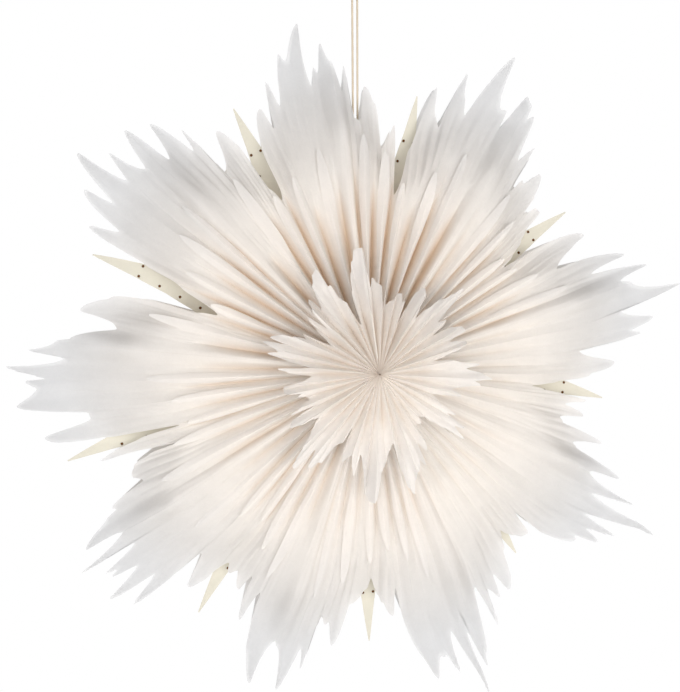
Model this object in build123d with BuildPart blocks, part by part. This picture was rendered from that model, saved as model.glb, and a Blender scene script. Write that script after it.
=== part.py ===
"""A hanging paper star that opens like a book: nine pleated cells between stiff radial pages, on a cord."""

import math
import os

from build123d import *

os.makedirs("parts", exist_ok=True)

# Driving dimensions, in millimetres and degrees
cell_count = 9
seam_angle = -4.25  # where the first and last page meet, clockwise from the top
tip_radius = 330.0  # the longest paper tip, measured from the star's axis
paper = 0.5  # white and cream paper
page_card = 0.5  # the radial pages and the two covers
seam_gap = 0.06  # between the two covers, held shut
sheet_gap = 0.2  # between a sheet's edge and the nearest cover face

# Hanging cord and hub
hub_drop = 340.0  # from the inside of the cord's loop down to the star's axis
cord_offset = 2.75  # the cord hangs this far right of the axis, clear of the seam
cord_diameter = 1.8
strand_gap_low = 3.1  # between the two strands' centre lines at the hub
strand_gap_high = 4.6  # and at the hook
loop_bend = 2.2  # radius of the cord's line over the hook
core_radius = 12.9
core_wall = 1.2
core_half = 65.0
cord_hole = 7.0
knot_radius = 4.2
knot_depth = 6.8  # the knot's centre above the star's axis
page_clearance = 0.3  # between the core and the inner edge of a page

# Front and back cones, as heights above the star's middle plane
cone_rise = 66.0  # where the ridge lines would meet the axis
cone_slope = 0.2
sheet_inner = 30.0  # distance along the cell's middle line where a sheet starts
pleat_middle = 110.0
cone_end = 195.0  # where the front and back sheets start to close on each other
pleat_end = 222.0  # where the pleats have opened flat
flange_reach = 240.0  # where the two sheets lie together as a flat rim
rim_rise = 2.0
rim_reach = 345.0  # end of the sheet before its teeth are cut
back_trim = 3.0  # the back sheets are cut this much shorter
pleat_width = 13.0  # one panel of paper, from ridge to valley
flat_crease = 0.8  # depth left of a pleat past its flat end
ridge_shares = [-1.0, -0.75, -0.35, 0.0, 0.35, 0.75, 1.0]
valley_shares = [-0.875, -0.55, -0.175, 0.175, 0.55, 0.875]

# The small star that stands in front of each cone
leaf_rise = 97.0
leaf_slope = 0.3
leaf_inner = 9.0
leaf_middle = 55.0
leaf_flat = 95.0  # where the small pleats have opened flat
leaf_reach = 120.0
leaf_width = 11.0  # one panel of a small leaf
leaf_ridges = [-1.0, -0.35, 0.35, 1.0]
leaf_valleys = [-0.675, 0.0, 0.675]

# The pages, as an outline of radius and height
page_reach = 226.0
page_nose = 232.0
page_waist = 40.0  # radius of the step behind the small star
page_lobe = 52.0  # radius of the page behind the small star
page_recess = 0.3  # the page's edge lies this far behind the ridge of the paper

# The cream lining that shows as a spike between two white points
lining_inner = 42.0
lining_reach = 272.0  # end of the lining before its spike is cut
lining_flat = 225.0  # where the lining has come down to the middle plane
lining_edge_rise = 2.2
lining_ridge_rise = 8.0
lining_flat_rise = 0.5
lining_flat_fold = 0.4
lining_rim = [(-20, 120), (-10, 130), (-6, 150), (-3.4, 178), (-1.6, 212), (0, 250), (1.6, 212), (3.4, 178), (6, 150),
              (10, 130), (20, 120)]
spike_root = 120.0  # radius at which the spike starts in the outline above
listed_spike = 250.0  # and where it ends
# Lean of each spike's tip in degrees, clockwise, and the tip's radius
spike_tips = [(-1.7, 240), (0.8, 234), (3.8, 234), (4, 232), (1.2, 250), (-2.8, 258), (-2.8, 265), (-2.2, 250), (-1, 247)]
hole_diameter = 2.6
hole_first = 146.0
hole_step = 20.0
hole_places = [11.5, 9.0, 6.5, 4.6]  # from the spike's middle, one for each step along it

# Binding threads and closing magnets
thread_ring = 17.0
thread_diameter = 1.0
thread_height = 45.0
thread_hole = 1.8
magnet_diameter = 10.0
magnet_thick = 1.0
magnet_places = [(60, 40), (60, -40), (170, 20)]

# Outline of the small stars, cell by cell: degrees from the cell's middle line, and radius
leaf_teeth = [
    [(-20, 106), (-19, 84), (-17.7, 72), (-15.5, 80), (-13, 76), (-10.5, 74), (-9, 60), (-7.5, 52), (-6, 70),
     (-4.5, 58), (-2, 62), (1.5, 66), (5.5, 71), (6.5, 64), (8.8, 66), (9.5, 55), (10.5, 42), (13.5, 60),
     (15.5, 78), (18, 84), (20, 80)],
    [(-20, 80), (-18.5, 68), (-16, 58), (-13.5, 70), (-10.5, 85), (-7.5, 96), (-5, 108), (-3.5, 98), (-2.5, 82),
     (-1.5, 70), (1, 78), (3.5, 74), (5.5, 60), (7.5, 80), (10.5, 88), (13.5, 90), (15.5, 72), (17.5, 80),
     (19, 87), (20, 85)],
    [(-20, 85), (-18.5, 80), (-16.5, 66), (-14.5, 52), (-12.5, 70), (-10.5, 76), (-7.5, 96), (-5.5, 84),
     (-2.5, 100), (0, 110), (1.5, 92), (3.5, 99), (5.5, 84), (8.5, 72), (11.5, 82), (13.5, 68), (16.5, 55), (20, 62)],
    [(-20, 62), (-17.5, 84), (-15.5, 76), (-13.5, 98), (-11.5, 88), (-9, 104), (-7.5, 84), (-5.5, 70), (-3.5, 60),
     (-0.5, 54), (2.5, 62), (5.5, 60), (8, 78), (10.5, 84), (12.5, 74), (14.5, 96), (16.5, 88), (20, 98)],
    [(-20, 98), (-18.5, 104), (-16, 117), (-14.5, 110), (-12.5, 92), (-10.5, 64), (-8, 70), (-4.5, 80), (-2.5, 84),
     (-0.5, 88), (2.5, 116), (4, 115), (6.5, 108), (8.5, 98), (10, 84), (13, 72), (14.5, 92), (17, 84), (20, 74)],
    [(-20, 74), (-17, 82), (-15.5, 75), (-13, 50), (-10.5, 66), (-8, 71), (-6.5, 90), (-4.5, 91), (-3, 98),
     (-1, 99), (1, 82), (2, 100), (3, 107), (4.5, 106), (6.5, 99), (8.5, 88), (11.5, 74), (14.5, 66), (16.5, 61),
     (18.5, 66), (20, 78)],
    [(-20, 78), (-18.5, 86), (-16.5, 82), (-15, 72), (-13.5, 56), (-12, 80), (-10.5, 72), (-7.5, 60), (-4.5, 62),
     (-2.5, 69), (-0.5, 66), (2.5, 79), (6, 78), (7.5, 70), (9.5, 60), (12.5, 55), (15.5, 75), (17.5, 83),
     (19, 62), (20, 57)],
    [(-20, 57), (-17.5, 75), (-15, 92), (-13, 84), (-9.5, 98), (-7.5, 79), (-6.5, 93), (-3.5, 88), (-1.5, 77),
     (1, 66), (3.5, 68), (5, 50), (6, 45), (8.5, 51), (11.5, 62), (15, 73), (17, 56), (19, 74), (20, 77)],
    [(-20, 77), (-18.5, 81), (-16.5, 82), (-15, 70), (-12.5, 83), (-11, 91), (-7.5, 98), (-4.5, 101), (-3.5, 83),
     (-2, 83), (-0.5, 70), (2.5, 65), (4.5, 52), (7, 43), (9.5, 72), (12.5, 87), (14.5, 96), (16.5, 105), (20, 106)],
]

# Teeth of the white paper, cell by cell: degrees from the cell's middle line, and radius
rim_teeth = [
    [(-20, 262), (-18.3, 233), (-17, 258), (-15.2, 210), (-13.2, 236), (-11, 222), (-10, 182), (-7.5, 196),
     (-5.8, 210), (-5.4, 190), (-4.5, 148), (-2.8, 160), (-1.5, 190), (1.8, 251), (3.2, 225), (5, 215),
     (6.5, 272), (8, 250), (9.5, 235), (13.2, 303), (15.6, 256), (16.8, 258), (17.2, 237), (18.7, 279), (20, 275)],
    [(-20, 275), (-19, 262), (-18.3, 268), (-15.5, 227), (-14.2, 249), (-13.5, 196), (-11.8, 218), (-11.1, 216),
     (-9.5, 234), (-6.8, 215), (-6, 192), (-4.5, 211), (-3.3, 211), (-2.5, 188), (-1.2, 180), (0.6, 150),
     (2.4, 150), (3.2, 183), (7.2, 236), (7.9, 222), (10.5, 195), (14.5, 264), (15.5, 226), (17.8, 282),
     (19.2, 252), (20, 262)],
    [(-20, 262), (-17.2, 313), (-15.5, 246), (-12.5, 279), (-10.3, 256), (-9.7, 268), (-8.3, 200), (-7, 203),
     (-4.2, 240), (-1.5, 216), (0.7, 181), (1.2, 152), (3.4, 152), (4.2, 190), (5, 216), (6.5, 193), (8.7, 216),
     (10, 190), (11.4, 195), (13.5, 242), (15.4, 211), (16.2, 217), (19, 269), (19.6, 238), (20, 236)],
    [(-20, 236), (-17.9, 294), (-16.5, 249), (-15, 325), (-12.2, 253), (-11.5, 296), (-10.2, 261), (-9, 283),
     (-7.3, 257), (-6.7, 264), (-3.2, 234), (-2.7, 188), (-1, 223), (0.5, 221), (2, 204), (2.8, 178), (4.6, 178),
     (6, 218), (10, 252), (11.4, 226), (12.2, 254), (14.3, 236), (15.6, 278), (16.2, 228), (20, 290)],
    [(-20, 290), (-19.4, 302), (-18.8, 258), (-18.1, 328), (-15.8, 257), (-14.8, 300), (-13.6, 262), (-13.1, 279),
     (-12.5, 276), (-10.8, 297), (-9.5, 275), (-5.3, 198), (-4.5, 228), (-2.2, 205), (-1.3, 175), (-0.6, 150),
     (2.4, 150), (5.8, 208), (9.2, 251), (10.4, 228), (11.2, 232), (12.7, 220), (14.5, 276), (15.2, 255),
     (18.2, 296), (20, 258)],
    [(-20, 258), (-19.3, 253), (-17, 296), (-14.5, 270), (-12.3, 212), (-10.8, 246), (-8.5, 203), (-7.5, 221),
     (-5, 193), (-3.6, 186), (-2, 165), (-0.4, 186), (0.4, 231), (2.2, 242), (5.5, 209), (8, 285), (9.5, 247),
     (10.5, 300), (13.1, 254), (13.8, 283), (14.8, 267), (15.5, 283), (17, 242), (18, 303), (20, 248)],
    [(-20, 248), (-18.9, 283), (-16.5, 255), (-15.6, 240), (-15, 245), (-12.5, 210), (-10.8, 217), (-8.8, 212),
     (-7.3, 196), (-6.6, 160), (-5.8, 196), (-5, 237), (-4.2, 222), (-3, 200), (-1.6, 160), (-0.6, 222),
     (2.5, 277), (4, 235), (6, 236), (8.5, 296), (11.5, 277), (12.7, 287), (13.3, 265), (15, 305), (17.2, 251),
     (18, 287), (20, 262)],
    [(-20, 262), (-19.4, 250), (-16, 212), (-15, 214), (-13.5, 245), (-9.5, 222), (-7.4, 193), (-6.8, 150),
     (-5, 134), (-1.4, 168), (-0.4, 176), (0.5, 204), (2.5, 261), (4.3, 235), (7.7, 280), (8.5, 252), (12, 303),
     (14, 253), (15.3, 282), (17.7, 249), (20, 285)],
    [(-20, 285), (-17.8, 240), (-16, 274), (-12.7, 231), (-12, 254), (-10.5, 200), (-9, 206), (-6.5, 235),
     (-4, 217), (-3.2, 172), (-1.2, 158), (0, 166), (0.7, 204), (4, 236), (5.5, 212), (7, 257), (8.7, 227),
     (10.3, 277), (11.6, 268), (15, 298), (15.9, 240), (16.7, 259), (17.5, 252), (18.5, 279), (20, 262)],
]
listed_tip = 328.0  # the longest tip in the lists above
listed_half_cell = 20.0  # the half cell that the lists are drawn for

# Worked-out sizes
cell_angle = 360 / cell_count
half_cell = cell_angle / 2
hub = Vector(-cord_offset, 0, -hub_drop)
cover_face = seam_gap / 2 + page_card
edge_inset = (cover_face + sheet_gap) / math.cos(math.radians(half_cell))
page_inner = core_radius + page_clearance
rim_growth = tip_radius - listed_tip
sides = {"front": -1, "back": 1}


def outward(angle):
    """Unit vector away from the star's axis, at an angle clockwise from the top seen from the front."""
    turn = math.radians(angle)
    return Vector(math.sin(turn), 0, math.cos(turn))


def face_plane(cell, side):
    """Plane across the star: x runs along the cell's middle line, z towards the front (side -1) or the back (1)."""
    middle = seam_angle + half_cell + cell_angle * cell
    return Plane(origin=hub, x_dir=outward(middle), z_dir=(0, side, 0))


def page_plane(angle):
    """Radial plane: x runs outwards, y towards the front, z clockwise."""
    turn = math.radians(angle)
    return Plane(origin=hub, x_dir=outward(angle), z_dir=(math.cos(turn), 0, -math.sin(turn)))


def section_plane(face, reach):
    """Plane across a cell at some way out: x runs sideways, y away from the middle plane."""
    return Plane(origin=hub + face.x_dir * reach, x_dir=face.y_dir, z_dir=face.x_dir)


def cone_height(reach):
    """Height of the large cone's ridge lines above the middle plane."""
    if reach <= cone_end:
        return cone_rise - cone_slope * reach
    end_rise = cone_rise - cone_slope * cone_end
    closed = min((reach - cone_end) / (flange_reach - cone_end), 1)
    return end_rise - (end_rise - rim_rise) * closed


def leaf_height(reach):
    """Height of the small star's ridge lines above the middle plane."""
    return leaf_rise - leaf_slope * reach


def room_sideways(reach, panels):
    """Width that the cell leaves for one panel of paper."""
    return reach * math.radians(cell_angle) / panels


def pleat_depth(reach, panels, panel):
    """A panel of fixed width stands up where there is little room and lies flat where there is enough."""
    return math.sqrt(max(panel**2 - room_sideways(reach, panels) ** 2, flat_crease**2))


def fold_line(reach, ridges, valleys, height, depth):
    """Corners across a folded sheet, from one edge to the other, with its edges clear of the pages."""
    line = []
    for share in sorted(ridges + valleys):
        sideways = reach * math.tan(math.radians(share * half_cell))
        if abs(share) == 1:
            sideways -= share * edge_inset
        line.append((sideways, height if share in ridges else height - depth))
    return line


def fold_face(plane, line, rise):
    """Closed section under a fold line, so thick up and down."""
    with BuildSketch(plane) as section:
        with BuildLine():
            Polyline(*line, *[(x, y - rise) for x, y in reversed(line)], close=True)
        make_face()
    return section.sketch


def pleated_sections(face, stations, ridges, valleys, height, panel):
    """Sections of a pleated sheet along its cell, one paper thick across the slope of its panels."""
    panels = len(ridges) + len(valleys) - 1
    sections = []
    for reach in stations:
        depth = pleat_depth(reach, panels, panel)
        line = fold_line(reach, ridges, valleys, height(reach), depth)
        rise = paper * math.hypot(1, depth / room_sideways(reach, panels))
        sections.append(fold_face(section_plane(face, reach), line, rise))
    return sections


def cell_corners(rim, side):
    """Corners in a face plane from shares of a 20 degree half cell and radii; the back plane's y runs clockwise."""
    turns = [(math.radians(angle * half_cell / listed_half_cell), radius) for angle, radius in rim]
    return [(radius * math.cos(turn), side * radius * math.sin(turn)) for turn, radius in turns]


def page_corners():
    """Outline of a page as radius and height, behind the ridges of both small stars and both cones."""
    slant = math.cos(math.radians(half_cell))
    upper = [
        (page_inner, leaf_height(page_inner * slant) - page_recess),
        (page_lobe, leaf_height(page_lobe * slant) - page_recess),
        (page_waist, cone_height(page_waist * slant) - page_recess),
        (cone_end / slant, cone_height(cone_end) - page_recess),
        (page_reach, cone_height(page_reach * slant) - page_recess),
    ]
    return [*upper, (page_nose, 0), *[(radius, -height) for radius, height in reversed(upper)]]


def finish(piece, name):
    """Label a piece and write it."""
    piece.part.label = name
    export_step(piece.part, f"parts/{name}.step")


def page(angle, low, high):
    """A stiff radial page between two distances from its plane, with holes for the binding threads."""
    with BuildPart() as card:
        with BuildSketch(page_plane(angle).offset(low)):
            with BuildLine():
                Polyline(*page_corners(), close=True)
            make_face()
            with Locations((thread_ring, thread_height), (thread_ring, -thread_height)):
                Circle(thread_hole / 2, mode=Mode.SUBTRACT)
        extrude(amount=high - low)
    return card


def magnets(low):
    """Closing magnets glued to a cover, standing clockwise from a distance off the seam's plane."""
    with BuildPart() as discs:
        with BuildSketch(page_plane(seam_angle).offset(low)):
            with Locations(*magnet_places):
                Circle(magnet_diameter / 2)
        extrude(amount=magnet_thick)
    return discs


def white_sheet(cell, side):
    """One pleated white sheet of a cell, with its teeth cut."""
    face = face_plane(cell, side)
    stations = (sheet_inner, pleat_middle, cone_end, pleat_end, flange_reach, rim_reach)
    sections = pleated_sections(face, stations, ridge_shares, valley_shares, cone_height, pleat_width)
    growth = rim_growth - (back_trim if side == sides["back"] else 0)
    teeth = [(angle, radius + growth) for angle, radius in rim_teeth[cell]]
    with BuildPart() as sheet:
        loft(sections, ruled=True)
        with BuildSketch(face):
            with BuildLine():
                Polyline((0, 0), *cell_corners(teeth, side), close=True)
            make_face()
        extrude(amount=cone_rise, mode=Mode.INTERSECT)
    return sheet


def small_leaf(cell, side):
    """One jagged leaf of a small star."""
    face = face_plane(cell, side)
    stations = (leaf_inner, leaf_middle, leaf_flat, leaf_reach)
    sections = pleated_sections(face, stations, leaf_ridges, leaf_valleys, leaf_height, leaf_width)
    with BuildPart() as leaf:
        loft(sections, ruled=True)
        with BuildSketch(face):
            with BuildLine():
                Polyline((0, 0), *cell_corners(leaf_teeth[cell], side), close=True)
            make_face()
        extrude(amount=leaf_rise, mode=Mode.INTERSECT)
    return leaf


def along_spike(cell, radius):
    """Lean in degrees and true radius of a point at a listed radius along a cell's spike."""
    lean, tip = spike_tips[cell]
    share = (radius - spike_root) / (listed_spike - spike_root)
    return lean * share, spike_root + (tip - spike_root) * share


def cream_lining(cell):
    """The cream paper of a cell: one ridge along the middle, a spike at the rim and two rows of punched holes."""
    front = sides["front"]
    face = face_plane(cell, front)
    folds = [
        (lining_inner, lining_ridge_rise, lining_ridge_rise - lining_edge_rise),
        (lining_flat, lining_flat_rise, lining_flat_fold),
        (lining_reach, lining_flat_rise, lining_flat_fold),
    ]
    sections = []
    for reach, rise, fold in folds:
        line = fold_line(reach, [0], [-1, 1], rise, fold)
        sections.append(fold_face(section_plane(face, reach), line, paper))
    rim = []
    for angle, radius in lining_rim:
        lean, reach = along_spike(cell, radius)
        rim.append((angle + lean, reach))
    holes = []
    for step, place in enumerate(hole_places):
        lean, reach = along_spike(cell, hole_first + hole_step * step)
        middle = front * reach * math.tan(math.radians(lean))
        holes += [(reach, middle + place), (reach, middle - place)]
    with BuildPart() as lining:
        loft(sections, ruled=True)
        with BuildSketch(face):
            with BuildLine():
                Polyline((0, 0), *cell_corners(rim, front), close=True)
            make_face()
            with Locations(*holes):
                Circle(hole_diameter / 2, mode=Mode.SUBTRACT)
        extrude(amount=lining_ridge_rise, both=True, mode=Mode.INTERSECT)
    return lining


# Hanging cord: from its knot up one strand, over the hook and down the other, in the middle plane
cord_top = cord_diameter / 2
knot_height = -hub_drop + knot_depth
cord_route = [
    (-strand_gap_low / 2, knot_height),
    (-strand_gap_high / 2, cord_top),
    (strand_gap_high / 2, cord_top),
    (strand_gap_low / 2, knot_height),
]
with BuildPart() as hanging_cord:
    with BuildLine(Plane.XZ) as cord_line:
        FilletPolyline(*cord_route, radius=loop_bend)
    with BuildSketch(Plane(origin=cord_line.line @ 0, z_dir=cord_line.line % 0)):
        Circle(cord_diameter / 2)
    sweep()
    cord_volume = hanging_cord.part.volume
    with Locations((0, 0, knot_height)):
        Sphere(knot_radius)
finish(hanging_cord, "hanging_cord")
cord_length = cord_line.wire().length
print("cord length", round(cord_length, 1), "bend radius", loop_bend)
print("cord volume over section", round(cord_volume / (math.pi * cord_diameter**2 / 4), 1))

# Core tube on the star's axis, with the hole that the cord comes up through
with BuildPart() as core_tube:
    with BuildSketch(Plane(origin=hub, x_dir=(1, 0, 0), z_dir=(0, -1, 0))):
        Circle(core_radius)
        Circle(core_radius - core_wall, mode=Mode.SUBTRACT)
    extrude(amount=core_half, both=True)
    with BuildSketch(Plane.XY.offset(-hub_drop)):
        Circle(cord_hole / 2)
    extrude(amount=core_radius, mode=Mode.SUBTRACT)
finish(core_tube, "core_tube")

# Binding threads, rings about the axis that pass through every page
with BuildPart() as binding_threads:
    for side in sides.values():
        with Locations(Location(hub + Vector(0, side * thread_height, 0), (90, 0, 0))):
            Torus(thread_ring, thread_diameter / 2)
finish(binding_threads, "binding_threads")

# Covers, pages and closing magnets
finish(page(seam_angle, seam_gap / 2, cover_face), "first_cover")
finish(page(seam_angle, -cover_face, -seam_gap / 2), "last_cover")
for number in range(1, cell_count):
    finish(page(seam_angle + cell_angle * number, -page_card / 2, page_card / 2), f"page_{number}")
finish(magnets(cover_face), "first_magnets")
finish(magnets(-cover_face - magnet_thick), "last_magnets")

# Paper of each cell
for cell in range(cell_count):
    for name, side in sides.items():
        finish(white_sheet(cell, side), f"{name}_sheet_{cell + 1}")
        finish(small_leaf(cell, side), f"{name}_leaf_{cell + 1}")
    finish(cream_lining(cell), f"cream_lining_{cell + 1}")
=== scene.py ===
"""Looks of a hanging paper star that folds shut like a book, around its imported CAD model."""

import math
import random

import bmesh
import bpy
from mathutils import Matrix, Vector, noise
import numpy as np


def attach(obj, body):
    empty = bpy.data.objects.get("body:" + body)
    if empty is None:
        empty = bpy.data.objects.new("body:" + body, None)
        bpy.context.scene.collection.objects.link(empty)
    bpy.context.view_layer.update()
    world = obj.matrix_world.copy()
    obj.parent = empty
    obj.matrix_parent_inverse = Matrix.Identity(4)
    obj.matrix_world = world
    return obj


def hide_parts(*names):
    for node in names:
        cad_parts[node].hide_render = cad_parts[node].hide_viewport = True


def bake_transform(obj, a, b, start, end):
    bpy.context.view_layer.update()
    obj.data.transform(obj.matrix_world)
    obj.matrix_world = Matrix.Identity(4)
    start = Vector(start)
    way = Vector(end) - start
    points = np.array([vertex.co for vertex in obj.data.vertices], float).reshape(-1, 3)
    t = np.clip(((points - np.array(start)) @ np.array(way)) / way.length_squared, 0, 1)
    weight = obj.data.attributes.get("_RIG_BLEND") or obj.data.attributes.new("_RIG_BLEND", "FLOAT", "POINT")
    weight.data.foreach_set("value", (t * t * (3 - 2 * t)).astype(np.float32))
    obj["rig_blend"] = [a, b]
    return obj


bl_info = {
    "name": "Hanging paper star",
    "version": (1, 0, 0),
    "blender": (4, 5, 0),
    "location": "View3D > Sidebar > Paper star",
    "description": "Builds the pleated paper, cord and finishes of a fold-out hanging star",
    "category": "Object",
}

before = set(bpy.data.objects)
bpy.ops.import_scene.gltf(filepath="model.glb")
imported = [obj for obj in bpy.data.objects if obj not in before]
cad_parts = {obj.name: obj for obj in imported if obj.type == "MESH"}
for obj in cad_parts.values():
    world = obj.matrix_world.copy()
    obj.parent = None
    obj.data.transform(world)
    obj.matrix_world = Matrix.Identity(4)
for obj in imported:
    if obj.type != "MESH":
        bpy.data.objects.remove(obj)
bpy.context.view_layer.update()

MM = 0.001
CELLS = 9
CELL_ANGLE = 360 / CELLS
HALF_CELL = CELL_ANGLE / 2
SEAM_ANGLE = -4.25
HUB = Vector((-2.75, 0.0, -340.0))
FRONT, BACK = -1, 1
SIDE_NAMES = {FRONT: "front", BACK: "back"}
CHAIN = ["star"] + [f"page_{n}" for n in range(1, CELLS)] + ["last_cover"]
PAINTED_SHADE = "fold_shade"  # attribute that carries the painted shade: 0 in the paper's outer colour, 1 in the painted shade of its deepest folds

# Ridges of the large pleats by cell, in degrees from the cell's middle line, with a valley between each two
SHEET_RIDGES = [
    [-20, -15, -8, -2, 6.5, 13, 20],
    [-20, -12.5, -7, -2, 3, 8.5, 15, 20],
    [-20, -14, -7.5, -1.5, 4.5, 11, 20],
    [-20, -14, -7.5, -2.5, 2.5, 8, 15, 20],
    [-20, -14, -9, -3, 2.5, 10, 16, 20],
    [-20, -12, -5.5, -1, 5, 11.5, 20],
    [-20, -13.5, -6, -1, 6, 12, 20],
    [-20, -11.5, -3, 3, 10.5, 16, 20],
    [-20, -10, -2.5, 4, 12.5, 20],
]
# How deep each cell's large pleats have stayed: those low on the right have opened most
PLEAT_DEPTH = [1.0, 0.68, 0.38, 0.36, 0.48, 0.62, 0.66, 0.85, 1.0]
BLADE_DEPTH = 0.4  # where the pleats have opened further than this, no blades stand out along them
LEAF_RIDGES = [-20, -10.5, 0.5, 9.5, 20]

# Teeth of the white paper, cell by cell: degrees from the cell's middle line, and radius in millimetres
RIM_TEETH = [
    [(-20, 262), (-18.3, 235), (-17.3, 260), (-16.5, 213), (-14.7, 210), (-13.4, 240), (-11, 226),
     (-9, 186), (-7.5, 196), (-5.8, 210), (-5.4, 190), (-4.5, 148), (-2.8, 160), (-1.5, 190), (1.8, 251),
     (3.2, 225), (5, 215), (6.5, 272), (8, 250), (9.5, 235), (13.2, 303), (15.6, 256), (16.8, 258),
     (17.2, 237), (18.7, 279), (20, 275)],
    [(-20, 275), (-19, 262), (-18.3, 268), (-15.5, 227), (-14.2, 249), (-13.5, 196), (-11.8, 218),
     (-11.1, 216), (-9.5, 234), (-6.8, 215), (-6, 192), (-4.5, 211), (-3.3, 211), (-2.5, 188),
     (-1.2, 180), (0.7, 164), (1.5, 148), (2.3, 164), (3.2, 183), (7.2, 236), (7.9, 222), (10.5, 195),
     (14.5, 264), (15.5, 226), (17.8, 282), (19.2, 252), (20, 262)],
    [(-20, 262), (-17.2, 313), (-15.5, 246), (-12.5, 279), (-10.3, 256), (-9.7, 268), (-8.3, 200),
     (-7, 203), (-4.2, 240), (-1.5, 216), (0.7, 181), (1.5, 166), (2.3, 150), (3.1, 166), (4.2, 190),
     (5, 216), (6.5, 193), (8.7, 216), (10, 190), (11.4, 195), (13.5, 242), (15.4, 211), (16.2, 217),
     (19, 269), (19.6, 238), (20, 236)],
    [(-20, 236), (-17.9, 294), (-16.5, 249), (-15, 325), (-12.2, 253), (-11.5, 296), (-10.2, 261),
     (-9, 283), (-7.3, 257), (-6.7, 264), (-3.2, 234), (-2.7, 188), (-1, 223), (0.5, 221), (2, 213),
     (3, 206), (3.7, 197), (4.4, 206), (6, 218), (10, 252), (11.4, 226), (12.2, 254), (14.3, 236),
     (15.6, 278), (16.2, 228), (20, 290)],
    [(-20, 290), (-19.4, 302), (-18.8, 258), (-18.1, 328), (-15.8, 257), (-14.8, 300), (-13.6, 262),
     (-13.1, 279), (-12.5, 276), (-10.8, 297), (-9.5, 275), (-5.3, 198), (-4.5, 228), (-2.2, 214),
     (-1.3, 206), (-0.4, 199), (0.9, 188), (2.4, 199), (5.8, 212), (9.2, 251), (10.4, 228), (11.2, 232),
     (12.7, 220), (14.5, 276), (15.2, 255), (18.2, 296), (20, 258)],
    [(-20, 258), (-19.3, 253), (-17, 296), (-14.5, 270), (-12.3, 212), (-10.8, 246), (-8.5, 203),
     (-7.5, 221), (-5, 206), (-3.6, 212), (-2, 204), (-0.4, 214), (0.4, 231), (2.2, 242), (5.5, 209),
     (8, 285), (9.5, 247), (10.5, 300), (13.1, 254), (13.8, 283), (14.8, 267), (15.5, 283), (17, 242),
     (18, 303), (20, 248)],
    [(-20, 248), (-18.9, 283), (-16.5, 255), (-15.6, 240), (-15, 245), (-12.5, 210), (-10.8, 217),
     (-8.8, 212), (-7.3, 196), (-6.6, 160), (-5.8, 196), (-5, 237), (-4.2, 222), (-3, 200), (-1.6, 160),
     (-0.6, 222), (2.5, 277), (4, 235), (6, 236), (8.5, 296), (11.5, 277), (12.7, 287), (13.3, 265),
     (15, 305), (17.2, 251), (18, 287), (20, 262)],
    [(-20, 262), (-19.4, 250), (-16, 212), (-15, 214), (-13.5, 245), (-9.5, 222), (-7.4, 193),
     (-6.8, 150), (-5, 134), (-1.4, 168), (-0.4, 176), (0.5, 204), (2.5, 261), (4.3, 235), (7.7, 280),
     (8.5, 252), (12, 303), (14, 253), (15.3, 282), (17.7, 249), (20, 285)],
    [(-20, 285), (-17.8, 240), (-16, 274), (-12.7, 231), (-12, 254), (-10.5, 200), (-9, 206), (-6.5, 235),
     (-4, 217), (-3.2, 172), (-1.2, 158), (0, 166), (0.7, 204), (4, 236), (5.5, 212), (7, 257),
     (8.7, 227), (10.3, 277), (11.6, 268), (15, 298), (15.9, 240), (16.7, 259), (17.5, 252), (18.5, 279),
     (20, 262)],
]
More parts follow.
